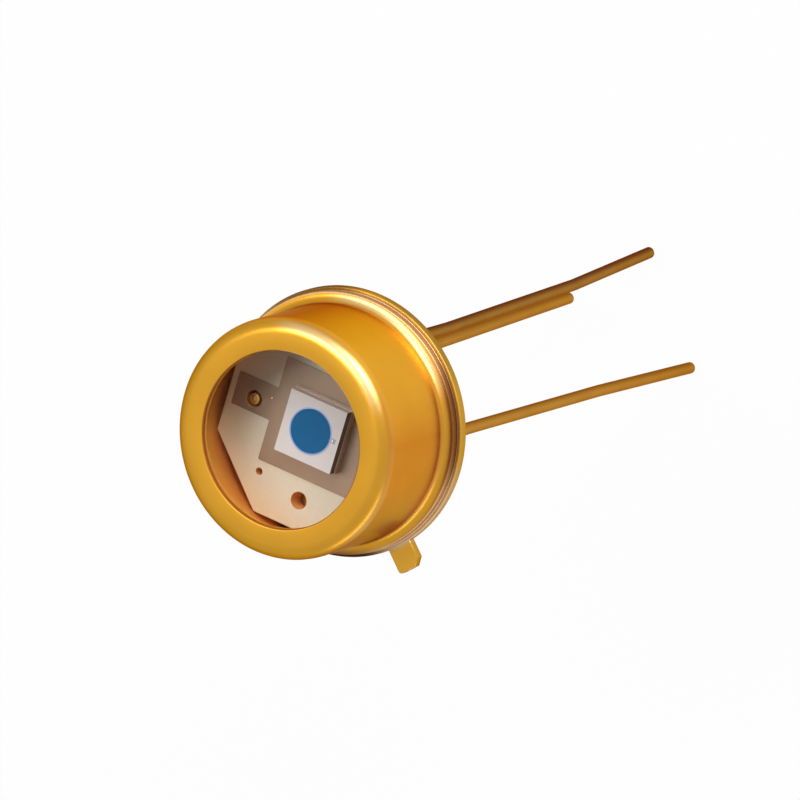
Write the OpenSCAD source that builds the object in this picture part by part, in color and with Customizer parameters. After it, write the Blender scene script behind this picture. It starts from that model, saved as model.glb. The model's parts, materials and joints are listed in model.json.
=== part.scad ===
// Photodiode in a round metal can with a glass window and three wire leads.
// Millimetres. The origin is the centre of the seating plane, the underside of the header flange.
// +Z is the optical axis and points out of the window. Lead 1, the anode, is at +X, lead 2, the
// case, at +Y and lead 3, the cathode, at -X.

/* [Cap] */
// Outside diameter of the cap's wall
cap_d = 8.2; // [7.8:0.1:9]
// Height of the cap's front face above the seating plane
can_h = 4.45; // [4.2:0.05:6]
// Thickness of the cap's sheet
cap_sheet = 0.25; // [0.2:0.01:0.3]
// Outside radius of the rounded front edge
cap_edge_r = 0.5; // [0.4:0.05:0.6]
// Diameter of the round aperture
aperture_d = 6.0; // [4.5:0.1:6.4]
// Radius where the wall flares into the flange
flare_r = 0.3; // [0.2:0.05:0.5]
// Flat width of the cap's flange outside the flare
cap_rim = 0.07; // [0.05:0.01:0.3]
// Thickness of the weld metal under the cap's flange
weld_t = 0.06; // [0.03:0.01:0.1]
// How far the weld metal stands out past the cap's flange
weld_bead = 0.03; // [0.01:0.01:0.06]

/* [Header] */
// Thickness of the header flange and the tab
flange_t = 0.34; // [0.25:0.01:0.5]
// Width of the flange's upper face left bare outside the cap
flange_ledge = 0.13; // [0.1:0.01:0.4]
// Chamfer on the flange's rim
flange_edge = 0.05; // [0.02:0.01:0.1]
// Height of the platform above the seating plane
platform_h = 1.05; // [1:0.005:1.6]
// Gap between the platform and the cap's wall
platform_gap = 0.15; // [0.1:0.01:0.3]
// Diameter of the three seal holes in the header
seal_d = 1.75; // [1.5:0.05:1.9]
// How far the seals lie below the header's faces
seal_recess = 0.05; // [0.02:0.01:0.1]
// Depth of the braze metal around the case lead
braze_depth = 0.3; // [0.2:0.05:0.5]
// Depth to which the case lead enters the header
case_lead_depth = 0.8; // [0.55:0.05:0.95]

/* [Index tab] */
// Width of the index tab
tab_w = 0.92; // [0.7:0.02:1.1]
// How far the tab reaches past the flange
tab_reach = 0.87; // [0.5:0.01:1.2]
// Clip on the tab's corner towards lead 1
tab_clip = 0.24; // [0.1:0.02:0.3]
// Direction of the tab, counted from lead 1
tab_angle = -43.5; // [-46:0.5:-43]

/* [Leads] */
// Diameter of the leads
lead_d = 0.41; // [0.38:0.01:0.5]
// Diameter of the circle the leads stand on
pin_circle_d = 5.08; // [4.8:0.02:5.2]
// Length of the anode lead below the seating plane, along the wire
anode_len = 20.3; // [17:0.1:38]
// Length of the case lead below the seating plane, along the wire
case_len = 19.8; // [17:0.1:38]
// Length of the cathode lead below the seating plane, along the wire
cathode_len = 19.9; // [17:0.1:38]
// Radius of the bends in the leads
bend_r = 5; // [2:0.5:10]
// Chamfer on the leads' cut ends
lead_chamfer = 0.06; // [0.02:0.01:0.1]
// Straight lengths of the anode lead before each bend
anode_runs = [0.8, 2.8, 9.2]; // [0.4:0.1:14]
// Bends of the anode lead towards +Y
anode_turns = [2.45, -3.05, -1.15]; // [-5:0.05:5]
// Straight lengths of the case lead before each bend
case_runs = [5.5, 8.6]; // [1:0.1:14]
// Bends of the case lead towards +Y
case_turns = [1.9, 2.9]; // [-5:0.05:5]
// Straight length of the cathode lead before its bend
cathode_runs = [5.2]; // [1:0.1:14]
// Bend of the cathode lead towards +Y
cathode_turns = [1.9]; // [-5:0.05:5]

/* [Window] */
// Thickness of the glass window
window_t = 0.5; // [0.45:0.05:0.8]
// Play between the window and the cap's inner front edge
window_play = 0.1; // [0.05:0.01:0.2]

/* [Ceramic] */
// Thickness of the ceramic
ceramic_t = 0.635; // [0.38:0.005:0.8]
// Gap between the ceramic's corners and the cap's wall
ceramic_gap = 0.06; // [0.04:0.01:0.3]
// Gap around the lead posts in the ceramic's holes
post_gap = 0.08; // [0.05:0.01:0.12]
// Diameter of the small marker hole
marker_d = 0.24; // [0.15:0.01:0.35]
// Place of the marker hole
marker_at = [-1.64, -2.19]; // [-2.3:0.01:2.3]
// Thickness of the adhesive under the ceramic
adhesive_t = 0.05; // [0.02:0.01:0.1]
// How far the adhesive stays back from the platform's edge
adhesive_inset = 0.25; // [0.15:0.01:0.4]
// How far the adhesive stays back from the ceramic's holes
adhesive_gap = 0.12; // [0.08:0.01:0.15]

/* [Pad] */
// Width of the square pad
pad_w = 3.6; // [3:0.05:3.8]
// Thickness of the pad
pad_t = 0.02; // [0.01:0.005:0.05]
// Bare ceramic left between the arm's end and the ceramic's edge
arm_end_gap = 0.22; // [0.1:0.02:0.4]
// How far the arm reaches from the post towards -Y
arm_low = 0.44; // [0.4:0.02:0.6]
// How far the arm reaches from the post towards +Y
arm_high = 0.7; // [0.4:0.02:0.8]
// Bare ceramic left around the hole in the arm
arm_hole_gap = 0.04; // [0.02:0.01:0.08]

/* [Chip] */
// Width of the square chip
chip_w = 2.16; // [1.94:0.02:2.4]
// Thickness of the chip
chip_t = 0.25; // [0.15:0.01:0.35]
// Thickness of the submount under the chip
submount_t = 0.23; // [0.15:0.01:0.4]
// How far the submount shows around the chip
submount_margin = 0.02; // [0.01:0.01:0.1]
// Thickness of the solder and die attach films
film_t = 0.03; // [0.02:0.005:0.05]
// How far the films stay back from the edges
film_inset = 0.03; // [0.01:0.01:0.08]
// Diameter of the blue active area
active_d = 1.48; // [1.2:0.02:1.7]
// Thickness of the blue coating and the contact metal
coating_t = 0.01; // [0.005:0.001:0.02]
// Width of the contact ring around the active area
contact_ring = 0.05; // [0.03:0.01:0.08]
// Width of the contact's bonding place
bond_place = 0.16; // [0.12:0.01:0.2]

/* [Bond wires] */
// Diameter of the bond wires
wire_d = 0.03; // [0.02:0.005:0.05]
// Diameter of the flattened ball at each end of a wire
ball_d = 0.1; // [0.08:0.01:0.14]
// Height of the flattened ball
ball_h = 0.05; // [0.03:0.005:0.06]
// Height of the anode wire's loop over its ends
anode_loop = 0.36; // [0.2:0.02:0.5]
// Height of the cathode wire's loop over its ends
cathode_loop = 0.16; // [0.1:0.02:0.25]
// Place of the cathode wire's ball from the post, along the arm
cathode_ball_at = [0.62, 0.3]; // [0.3:0.02:0.7]

/* [Hidden] */
$fn = 96;
// Overlap of a cut past the face it opens
eps = 0.1;
// Cap and header radii, from the wall outwards and inwards
cap_r = cap_d / 2;
cap_in_r = cap_r - cap_sheet;
cap_edge_in_r = cap_edge_r - cap_sheet;
cap_flange_r = cap_r + flare_r + cap_rim;
flange_r = cap_flange_r + flange_ledge;
platform_r = cap_in_r - platform_gap;
window_r = cap_in_r - cap_edge_in_r - window_play;
// Heights of the cap
cap_z = flange_t + weld_t;
flare_z = cap_z + cap_sheet + flare_r;
window_top_z = can_h - cap_sheet;
window_z = window_top_z - window_t;
edge_z = can_h - cap_edge_r;
// Heights of the stack on the platform
ceramic_z = platform_h + adhesive_t;
ceramic_top_z = ceramic_z + ceramic_t;
pad_top_z = ceramic_top_z + pad_t;
submount_z = pad_top_z + film_t;
submount_top_z = submount_z + submount_t;
chip_z = submount_top_z + film_t;
chip_top_z = chip_z + chip_t;
contact_top_z = chip_top_z + coating_t;
// Lead places and the octagon's corner radius
pin_r = pin_circle_d / 2;
anode_at = [pin_r, 0];
case_at = [0, pin_r];
cathode_at = [-pin_r, 0];
pin_angles = [0, 90, 180, 270];
post_hole_d = lead_d + 2 * post_gap;
ceramic_r = cap_in_r - ceramic_gap;
arm_reach = ceramic_r * cos(180 / 8) - arm_end_gap;
submount_w = chip_w + 2 * submount_margin;
// Place of the anode wire's ball on the contact
active_r = active_d / 2;
contact_r = active_r + contact_ring;
bond_x = contact_r + bond_place / 2;

function sum_abs(v) = len(v) == 0 ? 0 : [for (x = v) 1] * [for (x = v) abs(x)];
function arc_length(turns) = sum_abs(turns) * PI / 180 * bend_r;
function last_run(length, runs, turns) = length - sum_abs(runs) - arc_length(turns);

// Octagon with flats towards the leads, reaching the given corner radius
module octagon(r) {
    rotate(180 / 8)
        circle(r = r, $fn = 8);
}

// Bend of a lead that starts downwards at the origin and turns towards +Y
module lead_bend(turn) {
    mirror([0, turn < 0 ? 1 : 0, 0])
        translate([0, bend_r, 0])
            rotate([0, 90, 0])
                rotate([0, 0, -90])
                    rotate_extrude(angle = abs(turn))
                        translate([bend_r, 0])
                            circle(d = lead_d);
}

// Places its children at the lower end of such a bend
module after_bend(turn) {
    drop = bend_r * sin(abs(turn));
    shift = sign(turn) * bend_r * (1 - cos(turn));
    translate([0, shift, -drop])
        rotate([turn, 0, 0])
            children();
}

// Straight end of a lead with its chamfered tip, hanging from the origin
module lead_end(length) {
    translate([0, 0, lead_chamfer - length])
        cylinder(d = lead_d, h = length - lead_chamfer);
    translate([0, 0, -length])
        cylinder(d1 = lead_d - 2 * lead_chamfer, d2 = lead_d, h = lead_chamfer);
}

// Runs and bends of a lead from number i on, hanging from the origin
module lead_below(length, runs, turns, i = 0) {
    if (i == len(runs)) {
        lead_end(last_run(length, runs, turns));
    } else {
        translate([0, 0, -runs[i]]) {
            cylinder(d = lead_d, h = runs[i]);
            lead_bend(turns[i]);
            after_bend(turns[i])
                lead_below(length, runs, turns, i + 1);
        }
    }
}

// Whole lead at its place on the pin circle, with its post up to the given height
module lead(at, top, length, runs, turns) {
    translate([at.x, at.y, 0]) {
        cylinder(d = lead_d, h = top);
        lead_below(length, runs, turns);
    }
}

// Glass bead around an insulated lead
module glass_bead(at) {
    translate([at.x, at.y, seal_recess])
        difference() {
            cylinder(d = seal_d, h = platform_h - 2 * seal_recess);
            translate([0, 0, -eps])
                cylinder(d = lead_d, h = platform_h + 2 * eps);
        }
}

// Wire on a round arc between two points, with a flattened ball standing on each
module bond_wire(from, to, loop) {
    run = norm([to.x - from.x, to.y - from.y]);
    rise = to.z - from.z;
    chord = norm([run, rise]);
    arc_r = (chord * chord / 4 + loop * loop) / (2 * loop);
    half = asin(chord / (2 * arc_r));
    translate([from.x, from.y, from.z + ball_h / 2])
        rotate([0, 0, atan2(to.y - from.y, to.x - from.x)])
            rotate([90, -atan2(rise, run), 0])
                translate([chord / 2, loop - arc_r, 0])
                    rotate([0, 0, 90 - half])
                        rotate_extrude(angle = 2 * half)
                            translate([arc_r, 0])
                                circle(d = wire_d, $fn = 24);
    for (p = [from, to])
        translate(p)
            cylinder(d = ball_d, h = ball_h);
}

module header() {
    color("goldenrod")
        difference() {
            union() {
                rotate_extrude()
                    polygon([
                        [0, 0],
                        [flange_r - flange_edge, 0],
                        [flange_r, flange_edge],
                        [flange_r, flange_t - flange_edge],
                        [flange_r - flange_edge, flange_t],
                        [platform_r, flange_t],
                        [platform_r, platform_h - flange_edge],
                        [platform_r - flange_edge, platform_h],
                        [0, platform_h]
                    ]);
                index_tab();
            }
            for (at = [anode_at, cathode_at])
                translate([at.x, at.y, -eps])
                    cylinder(d = seal_d, h = platform_h + 2 * eps);
            translate([case_at.x, case_at.y, -eps]) {
                cylinder(d = seal_d, h = braze_depth + eps);
                cylinder(d = lead_d, h = case_lead_depth + eps);
            }
        }
}

// Flat tab that marks lead 1, with one clipped corner
module index_tab() {
    tab_end = flange_r + tab_reach;
    rotate([0, 0, tab_angle])
        linear_extrude(flange_t)
            polygon([
                [platform_r, -tab_w / 2],
                [tab_end, -tab_w / 2],
                [tab_end, tab_w / 2 - tab_clip],
                [tab_end - tab_clip, tab_w / 2],
                [platform_r, tab_w / 2]
            ]);
}

module cap() {
    color("gold")
        rotate_extrude()
            difference() {
                cap_outline();
                cap_hollow();
            }
}

// Outside of the cap's section, with the flare and the rounded front edge
module cap_outline() {
    translate([0, cap_z])
        square([cap_flange_r, cap_sheet]);
    translate([0, cap_z])
        square([cap_r, edge_z - cap_z]);
    translate([0, edge_z])
        square([cap_r - cap_edge_r, cap_edge_r]);
    translate([cap_r - cap_edge_r, edge_z])
        intersection() {
            circle(r = cap_edge_r);
            square(cap_edge_r);
        }
    translate([cap_r, flare_z - flare_r])
        difference() {
            square(flare_r);
            translate([flare_r, flare_r])
                circle(r = flare_r);
        }
}

// Inside of the cap's section, with the inner radii of the bent sheet and the aperture
module cap_hollow() {
    bend_in_r = flare_r + cap_sheet;
    translate([0, cap_z - eps])
        square([cap_in_r, window_top_z - cap_edge_in_r - cap_z + eps]);
    translate([0, cap_z])
        square([cap_in_r - cap_edge_in_r, window_top_z - cap_z]);
    translate([cap_in_r - cap_edge_in_r, window_top_z - cap_edge_in_r])
        intersection() {
            circle(r = cap_edge_in_r);
            square(cap_edge_in_r);
        }
    translate([cap_in_r, cap_z])
        difference() {
            square(bend_in_r);
            translate([bend_in_r, bend_in_r])
                circle(r = bend_in_r);
        }
    square([aperture_d / 2, can_h + eps]);
}

module weld_ring() {
    color("dimgray")
        translate([0, 0, flange_t])
            difference() {
                cylinder(r = cap_flange_r + weld_bead, h = weld_t);
                translate([0, 0, -eps])
                    cylinder(r = cap_flange_r - cap_rim - weld_bead, h = weld_t + 2 * eps);
            }
}

module window() {
    color("lightblue", 0.4)
        translate([0, 0, window_z])
            cylinder(r = window_r, h = window_t);
}

module window_seal() {
    color("slategray")
        translate([0, 0, window_z])
            difference() {
                cylinder(r = cap_in_r, h = window_t - cap_edge_in_r);
                translate([0, 0, -eps])
                    cylinder(r = window_r, h = window_t + 2 * eps);
            }
}

module lead_anode() {
    color("darkgoldenrod")
        lead(anode_at, ceramic_top_z, anode_len, anode_runs, anode_turns);
}

module lead_case() {
    color("darkgoldenrod")
        lead(case_at, case_lead_depth, case_len, case_runs, case_turns);
}

module lead_cathode() {
    color("darkgoldenrod")
        lead(cathode_at, ceramic_top_z, cathode_len, cathode_runs, cathode_turns);
}

module glass_seal_anode() {
    color("darkslategray")
        glass_bead(anode_at);
}

module glass_seal_cathode() {
    color("darkslategray")
        glass_bead(cathode_at);
}

module case_lead_braze() {
    color("khaki")
        translate([case_at.x, case_at.y, seal_recess])
            difference() {
                cylinder(d = seal_d, h = braze_depth - seal_recess);
                translate([0, 0, -eps])
                    cylinder(d = lead_d, h = braze_depth + 2 * eps);
            }
}

module ceramic_substrate() {
    color("linen")
        translate([0, 0, ceramic_z])
            linear_extrude(ceramic_t)
                difference() {
                    octagon(ceramic_r);
                    for (a = pin_angles)
                        rotate(a)
                            translate([pin_r, 0])
                                circle(d = post_hole_d);
                    translate(marker_at)
                        circle(d = marker_d);
                }
}

module substrate_adhesive() {
    color("tan")
        translate([0, 0, platform_h])
            linear_extrude(adhesive_t)
                difference() {
                    circle(r = platform_r - adhesive_inset);
                    for (a = pin_angles)
                        rotate(a)
                            translate([pin_r, 0])
                                circle(d = post_hole_d + 2 * adhesive_gap);
                    translate(marker_at)
                        circle(d = marker_d + 2 * adhesive_gap);
                }
}

module die_pad() {
    color("gray")
        translate([0, 0, ceramic_top_z])
            linear_extrude(pad_t)
                difference() {
                    union() {
                        square(pad_w, center = true);
                        translate([-arm_reach, -arm_low])
                            square([arm_reach, arm_low + arm_high]);
                    }
                    translate(cathode_at)
                        circle(d = post_hole_d + 2 * arm_hole_gap);
                }
}

module submount_solder() {
    color("silver")
        translate([0, 0, pad_top_z])
            linear_extrude(film_t)
                square(submount_w - 2 * film_inset, center = true);
}

module chip_submount() {
    color("ivory")
        translate([0, 0, submount_z])
            linear_extrude(submount_t)
                square(submount_w, center = true);
}

module die_attach() {
    color("silver")
        translate([0, 0, submount_top_z])
            linear_extrude(film_t)
                square(chip_w - 2 * film_inset, center = true);
}

module photodiode_chip() {
    color("lightgray")
        translate([0, 0, chip_z])
            linear_extrude(chip_t)
                square(chip_w, center = true);
}

module blue_coating() {
    color("steelblue")
        translate([0, 0, chip_top_z])
            cylinder(r = active_r, h = coating_t);
}

module anode_contact() {
    color("lightsteelblue")
        translate([0, 0, chip_top_z])
            linear_extrude(coating_t)
                difference() {
                    union() {
                        circle(r = contact_r);
                        translate([active_r, -bond_place / 2])
                            square([contact_ring + bond_place, bond_place]);
                    }
                    circle(r = active_r);
                }
}

module anode_bond_wire() {
    color("gold")
        bond_wire([bond_x, 0, contact_top_z], [anode_at.x, anode_at.y, ceramic_top_z], anode_loop);
}

module cathode_bond_wire() {
    ball_at = cathode_at + cathode_ball_at;
    color("gold")
        bond_wire([ball_at.x, ball_at.y, pad_top_z], [cathode_at.x, cathode_at.y, ceramic_top_z], cathode_loop);
}

header();
cap();
weld_ring();
window();
window_seal();
lead_anode();
lead_case();
lead_cathode();
glass_seal_anode();
glass_seal_cathode();
case_lead_braze();
ceramic_substrate();
substrate_adhesive();
die_pad();
submount_solder();
chip_submount();
die_attach();
photodiode_chip();
blue_coating();
anode_contact();
anode_bond_wire();
cathode_bond_wire();
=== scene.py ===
"""Photodiode in a gold-plated metal can: its finishes, its fine shapes and a plain studio.

Shapes are modelled in millimetres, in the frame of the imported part, and scaled to metres at the end.
"""

import json
import math

import bmesh
import bpy
from mathutils import Matrix, Vector


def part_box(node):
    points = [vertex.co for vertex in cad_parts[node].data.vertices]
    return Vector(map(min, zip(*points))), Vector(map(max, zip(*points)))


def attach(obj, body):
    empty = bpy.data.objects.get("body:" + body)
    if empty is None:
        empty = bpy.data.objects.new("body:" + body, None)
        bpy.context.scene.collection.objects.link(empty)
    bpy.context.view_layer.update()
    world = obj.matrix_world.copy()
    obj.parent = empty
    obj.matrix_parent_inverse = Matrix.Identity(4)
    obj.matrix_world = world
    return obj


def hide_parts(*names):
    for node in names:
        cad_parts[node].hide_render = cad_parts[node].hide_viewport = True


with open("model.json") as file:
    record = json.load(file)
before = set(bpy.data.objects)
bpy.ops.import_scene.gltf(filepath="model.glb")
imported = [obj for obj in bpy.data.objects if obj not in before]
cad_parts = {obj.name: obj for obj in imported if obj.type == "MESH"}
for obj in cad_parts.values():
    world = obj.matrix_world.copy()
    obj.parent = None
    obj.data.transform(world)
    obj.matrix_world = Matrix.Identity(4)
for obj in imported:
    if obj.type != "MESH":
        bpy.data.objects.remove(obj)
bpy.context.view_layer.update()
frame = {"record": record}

MM = 0.001


def low(node):
    """Lowest corner of a solid, in millimetres."""
    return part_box(node)[0] / MM


def high(node):
    """Highest corner of a solid, in millimetres."""
    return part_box(node)[1] / MM


# Sizes that the frame gives, in millimetres
MOUNT_RADIUS = {m["name"]: m["dims"].get("r_mm") for m in frame["record"]["mounts"]}
CAP_R = MOUNT_RADIUS["cap_barrel"]
CAP_TOP = high("cap").z
CAP_FOOT = low("cap").z
CAP_FLANGE_R = high("cap").x
CAP_INNER_R = high("window_seal").x
SHEET = CAP_TOP - high("window").z
FLANGE_R = high("header").x
FLANGE_T = low("weld_ring").z
PLATFORM_TOP = low("substrate_adhesive").z
LEAD_R = MOUNT_RADIUS["lead_1_anode"]
PIN_R = high("lead_anode").x - LEAD_R
CERAMIC_TOP = high("ceramic_substrate").z
PAD_HALF = high("die_pad").x
ACTIVE_R = high("blue_coating").x

# Cap: aperture and rounded corners
APERTURE_R = 3.0
APERTURE_EDGE_R = 0.06
CAP_EDGE_R = 0.5
CAP_FLARE_R = 0.3
CAP_CUT_EDGE_R = 0.04

# Header: platform, rim, tab and lead holes; tab edges that turn by more radians than ROLL_ABOVE are rolled
PLATFORM_R = 3.7
RIM_ROUND = 0.05
TAB_ANGLE = -43.5
TAB_W = 0.92
TAB_REACH = 0.87
TAB_CLIP = 0.24
TAB_ROUND = 0.12
TAB_STEP = 0.003
ROLL_ABOVE = 0.5
SEAL_R = 0.875
BRAZE_TOP = 0.3
CASE_LEAD_TOP = 0.8
CUT_PAST = 0.5

# Seals: how far the melt climbs, and where it starts to climb from the wire and from the hole
BEAD_CLIMB = 0.04
BRAZE_CLIMB = 0.045
BEAD_FOOT = 0.1
BRAZE_FOOT = 0.16
WALL_FOOT = 0.08
MELT_ROUND = 0.06
WELD_ROUND = 0.02
WINDOW_ROUND = 0.04

# Leads: length below the seating plane, straight runs and bends towards +Y, in degrees
LEAD_BEND_R = 5.0
LEAD_TIP_ROUND = 0.06
LEADS = {
    "anode": {"at": (PIN_R, 0), "length": 20.3, "runs": [0.8, 2.8, 9.2], "turns": [2.45, -3.05, -1.15]},
    "case": {"at": (0, PIN_R), "length": 19.8, "runs": [5.5, 8.6], "turns": [1.9, 2.9]},
    "cathode": {"at": (-PIN_R, 0), "length": 19.9, "runs": [5.2], "turns": [1.9]},
}
LEAD_TOPS = {"anode": CERAMIC_TOP, "case": CASE_LEAD_TOP, "cathode": CERAMIC_TOP}

# Ceramic, pad and chip
CERAMIC_CORNER_R = 3.79
POST_HOLE_R = 0.285
MARKER_AT = (-1.64, -2.19)
MARKER_R = 0.12
ADHESIVE_HOLE_GAP = 0.12
CERAMIC_SIDES = 8
CERAMIC_EDGE = 0.038
PAD_CORNER = 0.05
PAD_EDGE = 0.006
ARM_LOW = -0.44
ARM_HIGH = 0.7
ARM_HOLE_R = 0.3
SAWN_CORNER = 0.01
SAWN_EDGE = 0.01
FILM_CORNER = 0.04
STREET_W = 0.06
STREET_STEP = 0.006
FILM_EDGE = 0.004
BOND_PLACE = 0.16
BOND_CORNER = 0.02

# Bond wires
WIRE_R = 0.015
BALL_R = 0.05
BALL_H = 0.05
BALL_ROUND = 0.02
ANODE_LOOP = 0.36
CATHODE_LOOP = 0.16
CATHODE_BALL_AT = (-PIN_R + 0.62, 0.3)

# Smoothness of the round shapes: steps of a turn, of an arc and of a corner, then limits in degrees, and the
# distance in millimetres within which points are merged
TURN_STEPS = 192
SMALL_TURN_STEPS = 96
WIRE_STEPS = 40
BOND_WIRE_STEPS = 12
BOND_LOOP_STEPS = 24
ARC_STEPS = 8
TIP_STEPS = 4
CORNER_STEPS = 3
SOFT_STEPS = 2
SMOOTH_BELOW = 40
FLAT_WITHIN = 0.5
MERGE_WITHIN = 1e-5

# Gold: spacing of its drift, its grain and the wire's die lines and depth of the grain, in millimetres, then
# its roughness, with what inner walls and heat add to it
GOLD_DRIFT = 1.6
GOLD_DRIFT_RANGE = (0.9, 1.08)
GOLD_GRAIN = 0.12
WIRE_DRIFT = 1.1
DIE_LINE_GAP = 0.06
DIE_LINE_STRETCH = 0.03
GRAIN_DEPTH = 0.004
GOLD_ROUGH = (0.29, 0.38)
WIRE_ROUGH = (0.34, 0.48)
INNER_DULLNESS = 0.42
HEAT_DULLNESS = 0.12

# Parts of a face's normal between which a finish changes: from walls to level faces, over bends, on walls
# that face inwards, on wire in painted shade, and on cut walls and on walls painted in shade
LEVEL = (0.3, 0.75)
BEND_START = (0.99, 0.94)
BEND_END = (0.5, 0.75)
INWARDS = (-0.2, -0.6)
WIRE_SHADE_FROM = 0.1
CUT_WALL = (0.98, 0.5)
SHADED_WALL = (0.3, 0.8)

# Depth of the grains of fired, fused and melted surfaces, and spacing of the window's smears, in millimetres,
# with the roughness that the smears reach
FIRED_DEPTH = 0.01
SMEAR = 2.5
SMEAR_ROUGH = 0.03

# The weld's heat: the ring of plating that it turned; the wider ring of darker and paler patches on the rim,
# some of them painted shade; where both end on the tab; and how far a patch spreads, in degrees
HEAT_FROM_R = CAP_FLANGE_R - 0.09
HEAT_FULL_R = CAP_FLANGE_R - 0.02
PATCHES_FROM_R = CAP_FLANGE_R - 0.3
COOL_R = FLANGE_R + 0.12
PATCH_SPREAD = 34

# Sides, in degrees from lead 1: where painted light on the can's gold is strongest, where its bends carry a
# painted highlight, and where the leads are painted darker as shade
PAINTED_LIGHT_SIDE = 62
HIGHLIGHT_SIDE = 73
HIGHLIGHT_SPREAD = 42
HIGHLIGHT_SHARE = 0.8
SHADED_WIRE_SIDE = 108

# Tones of gold at a grazing angle, on inner walls left as drawn, on the punched edge of the aperture, and of
# the painted highlight on bends and the flange's flat
GRAZING_GOLD = "#BA8C5C"
AS_DRAWN_GOLD = "#EEB256"
PUNCHED_GOLD = "#A8682C"
HIGHLIGHT_GOLD = "#E2B868"

# Camera of the photograph: angles in degrees, places in millimetres
CAMERA_AZIMUTH = 126.8
CAMERA_ELEVATION = 59.209
CAMERA_ROLL = 106.529
CAMERA_AIM = Vector((1.226, 1.106, -0.980))
CAMERA_DISTANCE = 340.9
CAMERA_LENS = 456.75

# Lamps: name, direction from the can, direction of their length, length and width in millimetres, brightness
STREAK = (-0.66, -0.53, 0.37)
LAMPS = [
    ("Key softbox", (0.30, 0.80, 0.52), STREAK, 240, 160, 7.5),
    ("Overhead softbox", (-0.30, 0.24, 0.90), STREAK, 220, 110, 6.5),
    ("Fill card", (0.62, -0.76, 0.12), (0.76, 0.62, 0), 300, 60, 3.0),
]
LAMP_DISTANCE = 350

# Floor and world: places in millimetres, brightness as a share of white
FLOOR_GAP = 0.05
FLOOR_SIZE = 4000
FLOOR_GLOW = 0.96
FLOOR_IN_METAL = 0.4
POOL_FROM = 28
POOL_TO = 80
WORLD_AS_LIGHT = 0.18
WORLD_IN_METAL = 0.8


def srgb(code):
    """Linear colour of an sRGB hex code such as #D9A032."""
    shares = [int(code[i:i + 2], 16) / 255 for i in (1, 3, 5)]
    linear = [s / 12.92 if s <= 0.04045 else ((s + 0.055) / 1.055) ** 2.4 for s in shares]
    return (*linear, 1.0)


def per_mm(size):
    """Scale of a pattern whose grains are this many millimetres apart."""
    return 1 / (size * MM)


def side(angle):
    """Level direction at an angle in degrees, counted from lead 1."""
    return (math.cos(math.radians(angle)), math.sin(math.radians(angle)), 0)


def add(tree, kind, inputs=None, **settings):
    """Adds a node with its settings; an input is a value, or a socket to link."""
    made = tree.nodes.new(kind)
    for name, value in settings.items():
        setattr(made, name, value)
    for name, value in (inputs or {}).items():
        if isinstance(value, bpy.types.NodeSocket):
            tree.links.new(value, made.inputs[name])
        else:
            made.inputs[name].default_value = value
    return made


def new_material(name):
    """An empty material with its tree, its output and the piece's own coordinates."""
    material = bpy.data.materials.new(name)
    material.use_nodes = True
    tree = material.node_tree
    tree.nodes.clear()
    output = add(tree, "ShaderNodeOutputMaterial")
    place = add(tree, "ShaderNodeTexCoord")
    return material, tree, output, place


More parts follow.
